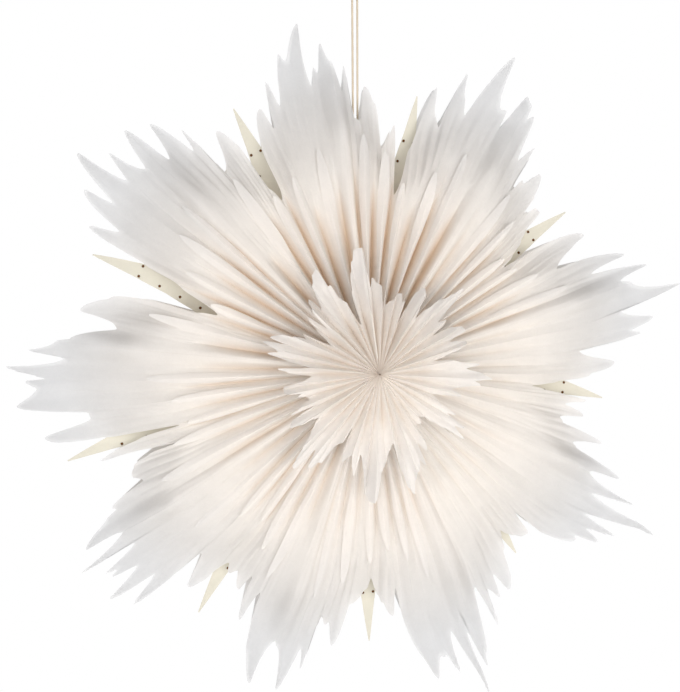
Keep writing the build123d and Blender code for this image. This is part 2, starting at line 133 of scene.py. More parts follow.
# Outline of the small stars, cell by cell, in the same way
LEAF_TEETH = [
    [(-20, 106), (-19, 84), (-17.7, 72), (-15.5, 80), (-13, 76), (-10.5, 74), (-9, 60), (-7.5, 52),
     (-6, 70), (-4.5, 58), (-2, 62), (1.5, 66), (5.5, 71), (6.5, 64), (8.8, 66), (9.5, 55), (10.5, 42),
     (13.5, 60), (15.5, 78), (18, 84), (20, 80)],
    [(-20, 80), (-18.5, 68), (-16, 58), (-13.5, 70), (-10.5, 85), (-7.5, 96), (-5, 108), (-3.5, 98),
     (-2.5, 82), (-1.5, 70), (1, 78), (3.5, 74), (5.5, 60), (7.5, 80), (10.5, 88), (13.5, 90), (15.5, 72),
     (17.5, 80), (19, 87), (20, 85)],
    [(-20, 85), (-18.5, 80), (-16.5, 66), (-14.5, 52), (-12.5, 70), (-10.5, 76), (-7.5, 96), (-5.5, 84),
     (-2.5, 100), (0, 110), (1.5, 92), (3.5, 99), (5.5, 84), (8.5, 72), (11.5, 82), (13.5, 68),
     (16.5, 55), (20, 62)],
    [(-20, 62), (-17.5, 84), (-15.5, 76), (-13.5, 98), (-11.5, 88), (-9, 104), (-7.5, 84), (-5.5, 70),
     (-3.5, 60), (-0.5, 54), (2.5, 62), (5.5, 60), (8, 78), (10.5, 84), (12.5, 74), (14.5, 96),
     (16.5, 88), (20, 98)],
    [(-20, 98), (-18.5, 104), (-16, 117), (-14.5, 110), (-12.5, 92), (-10.5, 64), (-8, 70), (-4.5, 80),
     (-2.5, 84), (-0.5, 88), (2.5, 116), (4, 115), (6.5, 108), (8.5, 98), (10, 84), (13, 72), (14.5, 92),
     (17, 84), (20, 74)],
    [(-20, 74), (-17, 82), (-15.5, 75), (-13, 50), (-10.5, 66), (-8, 71), (-6.5, 90), (-4.5, 91),
     (-3, 98), (-1, 99), (1, 82), (2, 100), (3, 107), (4.5, 106), (6.5, 99), (8.5, 88), (11.5, 74),
     (14.5, 66), (16.5, 61), (18.5, 66), (20, 78)],
    [(-20, 78), (-18.5, 86), (-16.5, 82), (-15, 72), (-13.5, 56), (-12, 80), (-10.5, 72), (-7.5, 60),
     (-4.5, 62), (-2.5, 69), (-0.5, 66), (2.5, 79), (6, 78), (7.5, 70), (9.5, 60), (12.5, 55), (15.5, 75),
     (17.5, 83), (19, 62), (20, 57)],
    [(-20, 57), (-17.5, 75), (-15, 92), (-13, 84), (-9.5, 98), (-7.5, 79), (-6.5, 93), (-3.5, 88),
     (-1.5, 77), (1, 66), (3.5, 68), (5, 50), (6, 45), (8.5, 51), (11.5, 62), (15, 73), (17, 56),
     (19, 74), (20, 77)],
    [(-20, 77), (-18.5, 81), (-16.5, 82), (-15, 70), (-12.5, 83), (-11, 91), (-7.5, 98), (-4.5, 101),
     (-3.5, 83), (-2, 83), (-0.5, 70), (2.5, 65), (4.5, 52), (7, 43), (9.5, 72), (12.5, 87), (14.5, 96),
     (16.5, 105), (20, 106)],
]
RIM_GROWTH = 2.0  # millimetres that the teeth stand past the listed radii
# The back's paper is cut shorter, and more so below a radius
BACK_TRIM, BACK_NOTCH_TRIM, NOTCH_REACH = 3.0, 0.1, 240
HOOK_TURN = 3.8  # how far the longest teeth bend sideways, in degrees
HOOK_START, HOOK_RUN, HOOK_CURVE = 190, 120, 1.6  # radius where it starts, way to its end, and its growth
TIP_ROUND = 0.22  # half the width of a tooth's round tip, in degrees
NOTCH_FLAT = 0.4  # half the width of a notch's round bottom, in degrees
BACK_NOTCH_FLAT = 0.9  # the same on the back, whose teeth are cut narrower and hide behind the front's
NOTCH_SHARE, NOTCH_MOST = 0.3, 0.55  # a notch's bottom as a share of a tooth's side, as a rule and at most
HOLLOW_CURVE, ROUND_CURVE = 1.4, 1.9  # how strongly the two sides of a tooth are curved
CROWN_STEPS = (0.0, 0.07, 0.12, 0.2, 0.3, 0.42, 0.56, 0.7, 0.85, 0.94, 1.0)  # points up one side of a tooth

RIM_CREASE = 2.4  # depth of the pleats that is left on the flat rim
RIM_CREASE_REACH = (185, 250)  # radii between which that depth sets in
RIM_BEND, RIM_BEND_REACH = 9.0, (205, 310)  # bend of the rim to the front or back, and its radii
RIM_WAVES, RIM_WAVE_RUN = 3.2, 0.008  # how often that bend changes round the star and outwards
VALLEY_WANDER = 0.12  # how far a valley may lie off its two ridges' middle, as a share of their distance
LEAST_PLEAT, PLEAT_GROWTH = 1.2, 1.7  # depth of a pleat at the centre, and how fast it may grow with its room
LIFT_REACH = (60, 150)  # radii between which the large ridges come to stand at uneven heights
CONE_SOFTENING = (0.85, 1.13)  # shares of the cone's end and the flange between which the paper closes softly
PAGE_COVER = 0.8  # height of the paper above a page's edge
# Room beside a paper's long edges, in degrees at a radius of 1 mm: next to other paper, and next to a card
PAPER_GAP, CARD_GAP = math.degrees(0.06), math.degrees(0.62)
PAPER_THROUGH, CREAM_THROUGH = 0.4, 0.35  # share of the light that passes through the papers
PAINTED_WARMTH_REACH = (120, 275)  # radii between which the painted warm shade of the centre fades into the outer white

# Half the width of a cream lining in degrees, along its radius
LINING_HALF = [(42, 20), (120, 20), (130, 10), (150, 6), (178, 3.4), (212, 1.6), (250, 0.12)]
SPIKE_ROOT, LISTED_SPIKE = 120, 250
# Lean of each spike's tip in degrees, clockwise, and the tip's radius
SPIKE_TIPS = [(-1.7, 240), (0.8, 234), (3.8, 234), (4, 232), (1.2, 250), (-2.8, 258), (-2.8, 265),
              (-2.2, 250), (-1, 247)]


def linear(code):
    """An sRGB hex colour as linear red, green and blue."""
    parts = [int(code[n:n + 2], 16) / 255 for n in (1, 3, 5)]
    return tuple(c / 12.92 if c <= 0.04045 else ((c + 0.055) / 1.055) ** 2.4 for c in parts)


def clamp(value):
    return max(0.0, min(1.0, value))


def ease(value, low, high):
    """0 below low, 1 above high and smooth between."""
    t = clamp((value - low) / (high - low))
    return t * t * (3 - 2 * t)


def setting(name, description, default, unit="NONE"):
    """A setting that is one number."""
    return bpy.props.FloatProperty(name=name, description=description, default=default, unit=unit)


def millimetres(name, description, default):
    """A setting that is a length in millimetres."""
    return setting(name, description + ", in millimetres", default)


def hue(name, description, code):
    """A setting that is a colour, from its hex code."""
    return bpy.props.FloatVectorProperty(
        name=name, description=description, subtype="COLOR", default=linear(code))


class PaperSizes(bpy.types.PropertyGroup):
    """Sizes of the pleated paper, most of them the same as in the solids."""

    cone_rise: millimetres("Cone rise", "Height at which the large ridges would meet the axis", 66)
    cone_slope: setting("Cone slope", "Fall of the large ridges for each millimetre outwards", 0.2)
    cone_end: millimetres("Cone end", "Way out at which the front and back start to close", 195)
    flange_reach: millimetres("Flange", "Way out at which the front and back lie together", 240)
    rim_rise: millimetres("Rim rise", "Height of the flat rim above the middle plane", 0.9)
    sheet_inner: millimetres("Sheet start", "Radius at which the large sheets start", 30)
    pleat_width: millimetres("Pleat width", "One panel of a large sheet", 11.5)
    leaf_rise: millimetres("Leaf rise", "Height at which the small ridges would meet the axis", 97)
    leaf_slope: setting("Leaf slope", "Fall of the small ridges for each millimetre outwards", 0.3)
    leaf_inner: millimetres("Leaf start", "Radius of the hole at the small star's centre", 0.7)
    leaf_width: millimetres("Leaf pleat width", "One panel of a small leaf", 11)
    lining_inner: millimetres("Lining start", "Radius at which the cream linings start", 42)
    lining_edge: millimetres("Lining edge", "Height of a lining's side edges", 2.2)
    lining_ridge: millimetres("Lining ridge", "Height of a lining's middle ridge", 8)
    lining_flat: millimetres("Lining end", "Radius at which a lining reaches the middle plane", 225)
    hole_size: millimetres("Hole", "Diameter of the punched holes", 2.6)


class PaperColours(bpy.types.PropertyGroup):
    """Colours of the paper, card and cord."""

    white: hue("White paper", "Outer part of the white sheets", "#E3E3E4")
    # Painted light and shade: the folded colour stands in for warm light bounced about the folds near the
    # centre, the valley colour for the shade at the bottom of the deep folds
    folded: hue("Folded paper", "White paper deep in its folds", "#FCF6F0")
    valley: hue("Valleys", "White paper at the bottom of its folds", "#EDD5BD")
    cream: hue("Cream paper", "The spikes between the points", "#DFDACB")
    # Painted shade: the dark brown inside the punched holes stands in for the shade seen through them
    hole_shade: hue("Hole edge", "Inside of the punched holes", "#7A5230")
    card: hue("Page card", "The stiff pages and covers", "#ECE6DD")
    tube: hue("Core board", "The wound tube in the middle", "#CDBFA8")
    cord: hue("Cord", "The hanging cord and its knot", "#E6D6BE")


class StageSizes(bpy.types.PropertyGroup):
    """Camera and studio light."""

    azimuth: setting("Azimuth", "Camera's turn about the star, in degrees", -13.5)
    elevation: setting("Elevation", "Camera's height angle, in degrees", 6.3)
    roll: setting("Roll", "Lean of the picture to the right, in degrees", -0.25)
    distance: setting("Distance", "From the camera to the star", 2.4, "LENGTH")
    picture_height: setting("Picture height", "Height of the view at the star", 0.609, "LENGTH")
    key_power: setting("Key", "Large soft light, in watts", 48)
    fill_power: setting("Fill", "Soft light from the left side, in watts", 31)
    rear_power: setting("Rear", "Soft light on the white wall's side, in watts", 22)
    ambient: setting("Ambient", "Light from the room all round", 0.28)


def add_node(tree, kind, settings=None, values=None, links=None):
    """One shader node with its settings, input values and incoming links."""
    node = tree.nodes.new("ShaderNode" + kind)
    for name, value in (settings or {}).items():
        setattr(node, name, value)
    for name, value in (values or {}).items():
        node.inputs[name].default_value = value
    for name, socket in (links or {}).items():
        tree.links.new(node.inputs[name], socket)
    return node


def new_material(name):
    """An empty node material and its tree."""
    material = bpy.data.materials.new(name)
    material.use_nodes = True
    material.node_tree.nodes.clear()
    return material, material.node_tree


def rgba(colour):
    return (*colour, 1.0)


def grain(tree, size, detail, roughness=0.5, distortion=0.0):
    """Cloudy noise that is fixed to the object, with features about as large as a size in metres."""
    place = add_node(tree, "TexCoord")
    values = {"Scale": 1 / size, "Detail": detail, "Roughness": roughness, "Distortion": distortion}
    return add_node(tree, "TexNoise", values=values, links={"Vector": place.outputs["Object"]}).outputs["Fac"]


def remap(tree, value, source, target):
    """A value carried over from one range to another."""
    values = dict(zip(("From Min", "From Max", "To Min", "To Max"), (*source, *target)))
    return add_node(tree, "MapRange", values=values, links={"Value": value}).outputs["Result"]


def darkened(tree, colour, darker, share):
    """A colour that turns into a darker tone of itself by a share."""
    tones = {"A": rgba(colour), "B": rgba([c * darker for c in colour])}
    return add_node(tree, "Mix", {"data_type": "RGBA"}, tones, {"Factor": share}).outputs["Result"]


def multiplied(tree, colour, by):
    settings = {"data_type": "RGBA", "blend_type": "MULTIPLY"}
    return add_node(tree, "Mix", settings, {"Factor": 1.0}, {"A": colour, "B": by}).outputs["Result"]


def bump(tree, height, strength, distance):
    """Fine relief from a texture, up to a distance in metres."""
    values = {"Strength": strength, "Distance": distance}
    return add_node(tree, "Bump", values=values, links={"Height": height}).outputs["Normal"]


def surface(tree, values, links):
    """Closes a material's tree with one opaque surface."""
    shader = add_node(tree, "BsdfPrincipled", values=values, links=links)
    add_node(tree, "OutputMaterial", links={"Surface": shader.outputs["BSDF"]})


def paper_material(name, pale, warm, deep, through):
    """Handmade mulberry paper: matte, cloudy with pulp, with fibres, and lets light through; its colour
    carries painted shade from an attribute.
    """
    material, tree = new_material(name)
    # Clouds of pulp about 30 mm across, and tangles of fibre about 5 mm across, coarser than real ones
    clouds = grain(tree, 0.03, 4.0, 0.6)
    fibres = grain(tree, 0.005, 6.0, 0.75, 2.5)
    # Painted shade: the attribute leads a ramp from the pale colour through the warm one to the deep one
    shade = add_node(tree, "Attribute", {"attribute_name": PAINTED_SHADE})
    tone = add_node(tree, "ValToRGB", links={"Fac": shade.outputs["Fac"]})
    stops = tone.color_ramp.elements
    stops[0].color, stops[1].color = rgba(pale), rgba(deep)
    stops.new(0.6).color = rgba(warm)
    both = add_node(tree, "Math", {"operation": "MULTIPLY"}, links={
        0: remap(tree, clouds, (0.35, 0.7), (1.0, 0.955)),
        1: remap(tree, fibres, (0.4, 0.7), (1.0, 0.965)),
    })
    colour = multiplied(tree, tone.outputs["Color"], both.outputs["Value"])
    matte = {"Roughness": 0.88, "IOR": 1.45, "Specular IOR Level": 0.25}
    front = add_node(tree, "BsdfPrincipled", values=matte,
                     links={"Base Color": colour, "Normal": bump(tree, fibres, 0.25, 0.0004)})
    behind = add_node(tree, "BsdfTranslucent", links={"Color": colour})
    mixed = add_node(tree, "MixShader", values={"Fac": through},
                     links={1: front.outputs["BSDF"], 2: behind.outputs["BSDF"]})
    add_node(tree, "OutputMaterial", links={"Surface": mixed.outputs["Shader"]})
    return material


def white_material(name, colours):
    """The white paper, with painted shade: warmer and then browner towards the bottom of its folds, standing
    in for bounced light and shade there.
    """
    return paper_material(name, colours.white, colours.folded, colours.valley, PAPER_THROUGH)


def painted_hole_shade_material(colour):
    """Painted shade: dark brown in the punched holes, standing in for the shade seen through them; dull,
    darker in places.
    """
    material, tree = new_material("scorched_paper")
    tone = darkened(tree, colour, 0.55, grain(tree, 0.0008, 3.0))
    surface(tree, {"Roughness": 0.92, "Specular IOR Level": 0.2}, {"Base Color": tone})
    return material


def card_material(colour):
    """Uncoated white board: matte, with a faint felt mark about 1 mm across from the paper machine."""
    material, tree = new_material("uncoated_board")
    relief = bump(tree, grain(tree, 0.001, 2.0), 0.3, 0.0002)
    tone = darkened(tree, colour, 0.9, grain(tree, 0.025, 3.0))
    surface(tree, {"Roughness": 0.85, "Specular IOR Level": 0.3}, {"Base Color": tone, "Normal": relief})
    return material


def tube_material(colour):
    """Spirally wound grey-brown board: bands of ply about 28 mm wide with fine flecks of waste paper."""
    material, tree = new_material("wound_board")
    place = add_node(tree, "TexCoord")
    turned = add_node(tree, "Mapping", values={"Rotation": (0.0, 0.0, math.radians(35))},
                      links={"Vector": place.outputs["Object"]})
    plies = add_node(tree, "TexWave", {"bands_direction": "Y", "wave_profile": "SAW"},
                     {"Scale": 1 / (0.028 * 3.2), "Distortion": 0.1}, {"Vector": turned.outputs["Vector"]})
    tone = darkened(tree, colour, 0.72, grain(tree, 0.0012, 4.0, 0.8))
    joint = remap(tree, plies.outputs["Fac"], (0.0, 0.05), (0.7, 1.0))
    banded = multiplied(tree, tone, joint)
    surface(tree, {"Roughness": 0.8, "Specular IOR Level": 0.3}, {"Base Color": banded})
    return material


def cotton_material(name, colour, fibre):
    """Twisted cotton yarn: soft, fuzzy edges and fine fibres along each ply."""
    material, tree = new_material(name)
    fuzz = grain(tree, fibre, 5.0, 0.7)
    surface(tree, {"Roughness": 0.9, "Specular IOR Level": 0.2, "Sheen Weight": 0.3},
            {"Base Color": darkened(tree, colour, 0.62, fuzz), "Normal": bump(tree, fuzz, 0.5, 0.0001)})
    return material


def nickel_material():
    """Nickel-plated magnet: pale warm grey, satin, with faint rubs about 0.6 mm across."""
    material, tree = new_material("nickel_plate")
    rough = remap(tree, grain(tree, 0.0006, 3.0), (0.0, 1.0), (0.22, 0.42))
    surface(tree, {"Base Color": rgba(linear("#C8C2B6")), "Metallic": 1.0}, {"Roughness": rough})
    return material


def cell_middle(cell):
    """Angle of a cell's middle line, clockwise from the top seen from the front, in degrees."""
    return SEAM_ANGLE + HALF_CELL + CELL_ANGLE * cell


def star_point(angle, radius, height, side):
    """A point in metres from an angle, a radius and a height above the middle plane."""
    turn = math.radians(angle)
    bend = sway(angle, radius)
    return (HUB + Vector((radius * math.sin(turn), side * height + bend, radius * math.cos(turn)))) * MM


def star_radius(vert):
    """How far a vertex lies from the star's axis, in millimetres."""
    return math.hypot(*(vert.co / MM - HUB).xz)


def hook(angle, radius):
    """Turn of a tooth's paper towards the nearest page, growing along the tooth, in degrees."""
    bent = clamp((radius - HOOK_START) / HOOK_RUN) ** HOOK_CURVE
    return math.copysign(HOOK_TURN * math.sin(math.pi * min(abs(angle) / HALF_CELL, 1.0)), angle) * bent


def unhooked(points):
    """Where listed points lie before their teeth are bent."""
    straight = []
    for angle, radius in points:
        start = angle
        for _ in range(8):
            start = angle - hook(start, radius)
        if straight and start <= straight[-1][0]:
            start = straight[-1][0] + 0.1
        straight.append((start, radius))
    return straight


def between(points, value):
    """Second numbers of a list of pairs, read between their first numbers."""
    if value <= points[0][0]:
        return points[0][1]
    for (start, first), (end, last) in zip(points, points[1:]):
        if value <= end:
            return first + (last - first) * (value - start) / (end - start)
    return points[-1][1]


def flame(points, notch=NOTCH_FLAT):
    """A smooth crown from listed teeth: round notches and tips, and teeth hollow on the nearest page's side.

    Gives rows of angle and radius, close together where the outline is steep.
    """
    row = [points[0]]
    for (start, first), (end, last) in zip(points, points[1:]):
        rising = last >= first
        hollow = rising == (start + end < 0)
        low, high = min(first, last), max(first, last)
        flat = min(NOTCH_SHARE * notch / NOTCH_FLAT, notch / (end - start), NOTCH_MOST)
        for up in CROWN_STEPS[1:] if rising else CROWN_STEPS[-2::-1]:
            share = up if rising else 1 - up
            raised = clamp((up - flat) / (1 - flat))
            curve = up ** (HOLLOW_CURVE + notch) if hollow else 1 - (1 - raised) ** ROUND_CURVE
            row.append((start + (end - start) * share, low + (high - low) * curve))
    wide = [(a, max(between(row, a + step) for step in (-TIP_ROUND, 0.0, TIP_ROUND))) for a, _ in row]
    return [(a, (between(wide, a - TIP_ROUND) + 2 * r + between(wide, a + TIP_ROUND)) / 4) for a, r in wide]


class Folds:
    """Where a pleated sheet's ridges and valleys run, with the small unevenness of hand folding."""

    def __init__(self, ridges, seed, wander, lift):
        draw = random.Random(seed)
        inner = [a + draw.uniform(-wander, wander) for a in ridges[1:-1]]
        ridges = [ridges[0], *inner, ridges[-1]]
        # Each line has an angle, 0 for a ridge or 1 for a valley, a ridge's lift, and a valley's half width
        self.lines = []
        for start, end in zip(ridges, ridges[1:]):
            room = end - start
            rise = 0.0 if start == ridges[0] else draw.uniform(-lift, lift)
            valley = (start + end) / 2 + draw.uniform(-VALLEY_WANDER, VALLEY_WANDER) * room
            self.lines += [(start, 0.0, rise, 0.0), (valley, 1.0, 0.0, room / 2)]
        self.lines.append((ridges[-1], 0.0, 0.0, 0.0))

    def angles(self):
        return [line[0] for line in self.lines]

    def ridges(self):
        return [line[0] for line in self.lines[2:-1:2]]

    def at(self, angle, radius, panel):
        """Share of the way from ridge (0) to valley (1), the depth of that valley, and the ridge's own lift.

        Panels keep their width, so a pleat is deep where there is little room and flat where there is much.
        Close to the centre the panels are cut narrower.
        """
        for one, two in zip(self.lines, self.lines[1:]):
            if one[0] <= angle <= two[0] or two is self.lines[-1]:
                share = clamp((angle - one[0]) / (two[0] - one[0]))
                low = one[1] + (two[1] - one[1]) * share
                lift = one[2] + (two[2] - one[2]) * share
                room = radius * math.radians(max(one[3], two[3]))
                depth = math.sqrt(max(panel**2 - room**2, 0.5))
                return low, min(depth, LEAST_PLEAT + PLEAT_GROWTH * room), lift


def cone_height(reach, sizes):
    """Height of the large ridges above the middle plane: straight, then closing softly onto the flat rim."""
    first, last = CONE_SOFTENING
    closed = ease(reach, first * sizes.cone_end, last * sizes.flange_reach)
    return (sizes.cone_rise - sizes.cone_slope * reach) * (1 - closed) + sizes.rim_rise * closed


def page_edge(radius, sizes):
    """Height of the paper along a cell's two sides, where it lies over the edge of a page."""
    reach = radius * math.cos(math.radians(HALF_CELL))
    closed = clamp((reach - sizes.cone_end) / (sizes.flange_reach - sizes.cone_end))
    straight = sizes.cone_rise - sizes.cone_slope * min(reach, sizes.cone_end)
    return straight * (1 - closed) + sizes.rim_rise * closed + PAGE_COVER


SHEET_FOLDS = [Folds(ridges, 100 + cell, 0.0, 2.0) for cell, ridges in enumerate(SHEET_RIDGES)]


def sway(angle, radius):
    """How far the rim has bent to the front or the back, the same for all the paper there, in millimetres."""
    turn = math.radians(angle)
    spot = Vector((math.sin(turn) * RIM_WAVES, math.cos(turn) * RIM_WAVES, radius * RIM_WAVE_RUN))
    cell = int((angle - SEAM_ANGLE) % 360 / CELL_ANGLE)
    away = (angle - SEAM_ANGLE) % CELL_ANGLE - HALF_CELL
    low = SHEET_FOLDS[cell].at(away, radius, 1.0)[0]
    bend = noise.noise(spot) * RIM_BEND * ease(radius, *RIM_BEND_REACH)
    return bend + (low - 0.5) * RIM_CREASE * ease(radius, *RIM_CREASE_REACH)


def columns(*lists, gap):
    """Sorted angles from several lists, with wide steps divided and near doubles left out."""
    marks = sorted(a for angles in lists for a in angles)
    row = [marks[0]]
    for mark in marks[1:]:
        if mark - row[-1] < 0.02:
            continue
        parts = max(1, math.ceil((mark - row[-1]) / gap))
        start = row[-1]
        row += [start + (mark - start) * (n + 1) / parts for n in range(parts)]
    return row


def fan(mesh, angles, rows, inner, outer, place):
    """Adds a fan of quads to a mesh: place(angle, radius, share) gives each point.

    Returns its vertices by column and row.
    """
    made = bmesh.ops.create_grid(mesh, x_segments=len(angles) - 1, y_segments=rows, size=0.5)["verts"]
    grid = {}
    for vert in made:
        column = round((vert.co.x + 0.5) * (len(angles) - 1))
        row = round((vert.co.y + 0.5) * rows)
        grid[column, row] = vert
    for (column, row), vert in grid.items():
        angle, share = angles[column], row / rows
        vert.co = place(angle, inner + (outer(angle) - inner) * share, share)
    return grid


def crease(grid, column, rows):
    """Marks the edges along one column of a fan as a sharp fold."""
    for row in range(rows):
        for edge in grid[column, row].link_edges:
            if edge.other_vert(grid[column, row]) is grid[column, row + 1]:
                edge.smooth = False


def edge_angle(angle, most):
    """Keeps a paper's two long edges within an angle from its cell's middle line."""
    return max(-most, min(most, angle))


def pleated(cell, side, folds, crown, angles, rows, inner, height, tone):
    """The mesh of a cell's pleated paper, out to its crown of teeth, and the mesh's layer of painted shade.

    height(angle, radius) gives its rise and how deep in a fold it lies, and tone(radius, deep) its painted
    shade.
    """
    middle = cell_middle(cell)
    mesh = bmesh.new()
    shade = mesh.verts.layers.float.new(PAINTED_SHADE)

    def place(angle, radius, share):
        rise, _ = height(angle, radius)
        bent = angle + hook(angle, radius)
        return star_point(middle + edge_angle(bent, HALF_CELL - PAPER_GAP / radius), radius, rise, side)

    grid = fan(mesh, angles, rows, inner, lambda a: between(crown, a), place)
    for (column, _), vert in grid.items():
        radius = star_radius(vert)
        vert[shade] = tone(radius, height(angles[column], radius)[1])
    lines = folds.angles()
    for column, angle in enumerate(angles):
        if min(abs(angle - line) for line in lines) <= 0.021:
            crease(grid, column, rows)
    return mesh, shade


def new_object(name, data):
    """An object of some data, in the scene."""
    piece = bpy.data.objects.new(name, data)
    bpy.context.scene.collection.objects.link(piece)
    return piece


def paper_piece(name, mesh, materials, cell, node):
    """A cell's paper from a finished bmesh. It is one surface, so that light passes through it once.

    It closes up with the cell's two pages, in even steps of angle about the star's axis.
    """
    bmesh.ops.recalc_face_normals(mesh, faces=mesh.faces)
    for face in mesh.faces:
        face.smooth = True
    data = bpy.data.meshes.new(name)
    mesh.to_mesh(data)
    mesh.free()
    for material in materials:
        data.materials.append(material)
    piece = new_object(name, data)
    middle = cell_middle(cell)
    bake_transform(piece, CHAIN[cell], CHAIN[cell + 1],
             start=star_point(middle - HALF_CELL, 200, 0, FRONT),
             end=star_point(middle + HALF_CELL, 200, 0, FRONT))
    weights = []
    for vert in data.vertices:
        out = vert.co / MM - HUB
        angle = math.degrees(math.atan2(out.x, out.z)) - middle
        angle = (angle + 180) % 360 - 180
        weights.append(clamp((angle + HALF_CELL) / CELL_ANGLE))
    data.attributes["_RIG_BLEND"].data.foreach_set("value", weights)
    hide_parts(node)


class STAR_OT_white_sheets(bpy.types.Operator):
    """Pleated white sheets of the front and the back, with flame-like teeth and blades along the ridges"""

    bl_idname = "star.white_sheets"
    bl_label = "White sheets"

    rows = 38
    column_gap = 0.6
    edge_spread = range(-6, 7, 2)  # degrees to both sides over which the teeth's reach is averaged
    cut_closing, cut_strip = 0.55, (-15, 60)  # how far front and back close at the cut edge, and where
    tent_width = 4.0  # degrees beside a page over which the paper comes to lie on it
    free_width, free_reach = 1.2, 200  # degrees from a page, and radius, within which ridges stand unevenly
    flattening = 0.93  # share of the pleats' depth that is lost at the rim
    flat_reach = (0.75, 1.1)  # shares of the cone's end and the flange between which it is lost
    ripple, ripple_turn, ripple_run = 0.5, 1.1, 0.05  # the paper's small waves
    least_rise = 0.35
    # Painted shade deep in the folds: how much at most, and the radii between which it fades out
    deep_shade, deep_reach = 0.4, (110, 230)

    blade_rows = 20
    blade_across = [-1.0, -0.75, -0.4, 0.0, 0.4, 0.75, 1.0]
    blade_start, blade_tip = 72.0, 158
    blade_growth = 3.2  # millimetres that a blade is longer for each degree from the cell's middle line
    # Painted warm shade of the blades, which fades out with that of the sheet
    blade_painted_shade = 0.52
    blade_clearance = 0.5

    def execute(self, context):
        scene = context.scene
        white = white_material("white_mulberry_paper", scene.star_colours)
        for cell in range(CELLS):
            for side in (FRONT, BACK):
                self.sheet(cell, side, scene.star_sizes, white)
        return {"FINISHED"}

    def sheet(self, cell, side, sizes, white):
        folds = SHEET_FOLDS[cell]
        notch = NOTCH_FLAT if side == FRONT else BACK_NOTCH_FLAT
        crown = flame(unhooked([(a, r + RIM_GROWTH - self.trim(r, side)) for a, r in RIM_TEETH[cell]]), notch)
        angles = columns([a for a, _ in crown], folds.angles(), gap=self.column_gap)
        spread = self.edge_spread
        edges = {a: sum(between(crown, a + step) for step in spread) / len(spread) for a in angles}

        def height(angle, radius):
            reach = radius * math.cos(math.radians(angle))
            beside = HALF_CELL - abs(angle)
            on_paper = ease(beside, 0, self.tent_width)
            low, depth, lift = folds.at(angle, radius, sizes.pleat_width)
            flat = ease(reach, self.flat_reach[0] * sizes.cone_end, self.flat_reach[1] * sizes.flange_reach)
            depth *= PLEAT_DEPTH[cell] * (1 - flat * self.flattening)
            closed = self.cut_closing * (1 - ease(edges[angle] - radius, *self.cut_strip)) * on_paper
            spot = Vector((angle * self.ripple_turn + cell * 50, radius * self.ripple_run, side * 3.0))
            ripple = noise.noise(spot) * self.ripple
            free = ease(beside, 0, self.free_width) * (1 - ease(reach, self.free_reach, sizes.flange_reach))
            rise = (cone_height(reach, sizes) - low * depth) * (1 - closed)
            rise += (page_edge(radius, sizes) - rise) * (1 - on_paper)
            rise += (lift * ease(radius, *LIFT_REACH) + ripple) * free
            return max(rise, self.least_rise), low * depth / sizes.pleat_width

        # Painted shade: warmer towards the centre and browner deep in the folds, standing in for bounced
        # light and shade
        def tone(radius, deep):
            folded = self.deep_shade * clamp(1.4 * deep) ** 2 * (1 - ease(radius, *self.deep_reach))
            return 0.6 * (1 - ease(radius, *PAINTED_WARMTH_REACH)) + folded

        mesh, shade = pleated(cell, side, folds, crown, angles, self.rows, sizes.sheet_inner, height, tone)
        for ridge in folds.ridges() if PLEAT_DEPTH[cell] > BLADE_DEPTH else []:
            self.blade(mesh, shade, ridge, cell, side, sizes, folds, crown)
        name, n = SIDE_NAMES[side], cell + 1
        paper_piece(f"{name}_paper_{n}", mesh, [white], cell, f"{name}_sheet_{n}")

    def trim(self, radius, side):
        """How much shorter the back's paper is cut: most in the deep notches."""
        return BACK_TRIM + BACK_NOTCH_TRIM * max(0, NOTCH_REACH - radius) if side == BACK else 0.0

    def blade(self, mesh, shade, ridge, cell, side, sizes, folds, crown):
        """A narrow free blade with a round tip, folded along a ridge: it leaves the sheet towards its tip."""
        draw = random.Random(900 + cell * 20 + round(ridge * 3) + (side > 0))
        start = self.blade_start
        tip = self.blade_tip + self.blade_growth * abs(ridge) + draw.uniform(-9, 9)
        tip = min(tip, between(crown, ridge) - 4)
        width = draw.uniform(4.8, 6.8) * (0.5 + 0.5 * PLEAT_DEPTH[cell])
        lift = draw.uniform(1.2, 3.2) * PLEAT_DEPTH[cell]
        lean = draw.uniform(-0.8, 0.8)
        middle = cell_middle(cell)

        def place(offset, radius, share):
            share = 1 - (1 - share) ** 1.6
            radius = start + (tip - start) * share
            _, depth, rise = folds.at(ridge, radius, sizes.pleat_width)
            half = width * min(1.0, 0.25 + share * 1.5) * (1 - share**5) ** 0.55 + 0.04
            slope = min(1.4, PLEAT_DEPTH[cell] * depth / (radius * math.radians(3.0))) * (1 - 0.4 * share)
            away = math.degrees(offset * half / math.hypot(1, slope) / radius) + lean * share**2
            reach = radius * math.cos(math.radians(ridge))
            top = cone_height(reach, sizes) + rise * ease(radius, *LIFT_REACH)
            top += self.blade_clearance + lift * share**2.5
            drop = abs(offset) ** 1.3 * half * slope / math.hypot(1, slope)
            return star_point(middle + ridge + away, radius, top - drop, side)

        grid = fan(mesh, self.blade_across, self.blade_rows, start, lambda a: tip, place)
        # Painted shade: the blades grow warmer towards the centre, like the sheet
        for vert in grid.values():
            vert[shade] = self.blade_painted_shade * (1 - ease(star_radius(vert), *PAINTED_WARMTH_REACH))
        crease(grid, len(self.blade_across) // 2, self.blade_rows)


